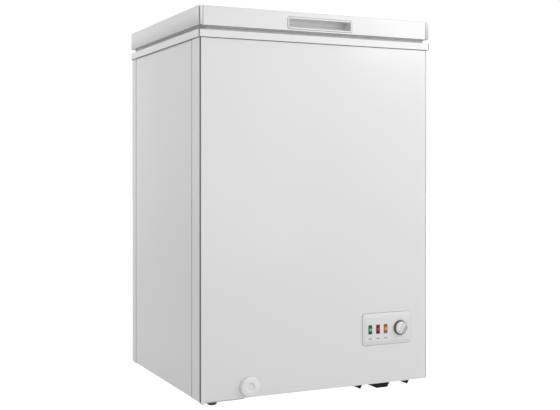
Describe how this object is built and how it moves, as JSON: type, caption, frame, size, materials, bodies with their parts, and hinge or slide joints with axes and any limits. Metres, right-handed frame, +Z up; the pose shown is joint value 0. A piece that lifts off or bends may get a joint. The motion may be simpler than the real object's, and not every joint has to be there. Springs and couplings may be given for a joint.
{
  "type": "chest freezer",
  "caption": "Compact white chest freezer with a rear-hinged lid, recessed front handle, front control panel with lamps and thermostat knob, pull-out drain, and wire basket",
  "frame": {"origin": "centre of the footprint, on the floor", "axes": "+Z up, the front with the handle and controls faces -Y, +X to the right of someone who stands in front"},
  "size_m": [0.572, 0.525, 0.85],
  "materials": {
    "cabinet_paint": "smooth white baked enamel on sheet steel",
    "lid_paint": "smooth white baked enamel on sheet steel",
    "white_plastic": "smooth white moulded plastic",
    "liner": "white coated aluminium sheet",
    "galvanised_sheet": "galvanised sheet with a fine spangle",
    "zinc_steel": "bright zinc plating",
    "foam": "rigid polyurethane foam",
    "copper": "drawn copper tube",
    "grey_plastic": "light grey moulded plastic",
    "control_plate": "pale grey satin plastic",
    "knob_plastic": "white plastic with a dark grey skirt",
    "green_lens": "translucent green indicator lens",
    "red_lens": "translucent red indicator lens",
    "orange_lens": "translucent orange indicator lens",
    "black_enamel": "black stoved enamel",
    "black_plastic": "black moulded plastic",
    "black_rubber": "black moulded rubber",
    "grey_rubber": "dark grey moulded rubber",
    "gasket_rubber": "pale grey soft magnetic seal",
    "coated_wire": "white plastic-coated steel wire"
  },
  "bodies": {
    "cabinet": {"front_panel": "cabinet_paint", "left_side_panel": "cabinet_paint", "right_side_panel": "cabinet_paint", "back_panel": "galvanised_sheet", "base_panel": "galvanised_sheet", "compartment_partition": "galvanised_sheet", "rear_cover": "galvanised_sheet", "cord_inlet_gland": "black_plastic", "top_collar": "white_plastic", "inner_liner": "liner", "cabinet_foam": "foam", "evaporator_tube": "copper", "condenser_tube": "copper", "drain_pipe": "grey_plastic", "control_housing": "control_plate", "power_lamp": "green_lens", "alarm_lamp": "red_lens", "fast_freeze_lamp": "orange_lens", "thermostat_body": "white_plastic", "compressor": "black_enamel", "terminal_cover": "black_plastic", "compressor_grommet_1": "grey_rubber", "compressor_grommet_2": "grey_rubber", "compressor_grommet_3": "grey_rubber", "compressor_grommet_4": "grey_rubber", "compressor_plate": "black_enamel", "front_right_foot": "black_rubber", "rear_right_foot": "black_rubber", "front_foot_bracket": "zinc_steel", "rear_foot_bracket": "zinc_steel", "rear_left_foot": "grey_rubber", "front_bracket_screw": "zinc_steel", "rear_bracket_screw": "zinc_steel", "left_hinge_channel": "zinc_steel", "left_hinge_pin": "zinc_steel", "left_hinge_spring": "zinc_steel", "left_channel_anchor": "zinc_steel", "right_hinge_channel": "zinc_steel", "right_hinge_pin": "zinc_steel", "right_hinge_spring": "zinc_steel", "right_channel_anchor": "zinc_steel"},
    "lid": {"lid_shell": "lid_paint", "lid_fascia": "white_plastic", "lid_inner_panel": "liner", "lid_foam": "foam", "lid_gasket": "gasket_rubber", "left_hinge_leaf": "zinc_steel", "right_hinge_leaf": "zinc_steel", "left_leaf_anchor": "zinc_steel", "right_leaf_anchor": "zinc_steel"},
    "left_plunger": {"left_hinge_plunger": "black_plastic"},
    "right_plunger": {"right_hinge_plunger": "black_plastic"},
    "knob": {"thermostat_knob": "knob_plastic", "thermostat_spindle": "zinc_steel"},
    "spout": {"drain_spout": "grey_plastic"},
    "dial": {"drain_dial": "grey_plastic"},
    "plug": {"drain_plug": "white_plastic"},
    "basket": {"wire_basket": "coated_wire"},
    "foot": {"front_left_foot": "grey_rubber"},
    "foot_stem": {"front_left_foot_stem": "zinc_steel"}
  },
  "joints": [
    {"name": "lid_hinge", "type": "hinge", "parent": "cabinet", "child": "lid", "pos_m": [0, 0.2535, 0.802], "axis": [-1, 0, 0], "range_deg": [0, 80]},
    {"name": "left_plunger_slide", "type": "slide", "parent": "cabinet", "child": "left_plunger", "axis": [0, 0, 1], "range_m": [0, 0.0046], "deforming": ["left_hinge_spring"]},
    {"name": "right_plunger_slide", "type": "slide", "parent": "cabinet", "child": "right_plunger", "axis": [0, 0, 1], "range_m": [0, 0.0046], "deforming": ["right_hinge_spring"]},
    {"name": "thermostat_turn", "type": "hinge", "parent": "cabinet", "child": "knob", "pos_m": [0.206, -0.2545, 0.142], "axis": [0, -1, 0], "range_deg": [-135, 135]},
    {"name": "spout_slide", "type": "slide", "parent": "cabinet", "child": "spout", "axis": [0, -1, 0], "range_m": [0, 0.045]},
    {"name": "drain_dial_turn", "type": "hinge", "parent": "spout", "child": "dial", "pos_m": [-0.1702, -0.2505, 0.042], "axis": [0, -1, 0], "range_deg": [0, 180]},
    {"name": "drain_plug_lift", "type": "slide", "parent": "cabinet", "child": "plug", "axis": [0, 0, 1], "range_m": [0, 0.03]},
    {"name": "basket_slide", "type": "slide", "parent": "cabinet", "child": "basket", "axis": [-1, 0, 0], "range_m": [0, 0.238]},
    {"name": "foot_travel", "type": "slide", "parent": "cabinet", "child": "foot_stem", "axis": [0, 0, -1], "range_m": [0, 0.006]},
    {"name": "foot_screw_turn", "type": "hinge", "parent": "foot_stem", "child": "foot", "pos_m": [-0.238, -0.2005, 0.014], "axis": [0, 0, 1], "range_deg": [0, 1441]}
  ],
  "couplings": [
    {"joint": "left_plunger_slide", "follows": "lid_hinge", "m_per_rad": 0.0032229},
    {"joint": "right_plunger_slide", "follows": "lid_hinge", "m_per_rad": 0.0032229},
    {"joint": "foot_screw_turn", "follows": "foot_travel", "rad_per_m": 4188.8}
  ]
}
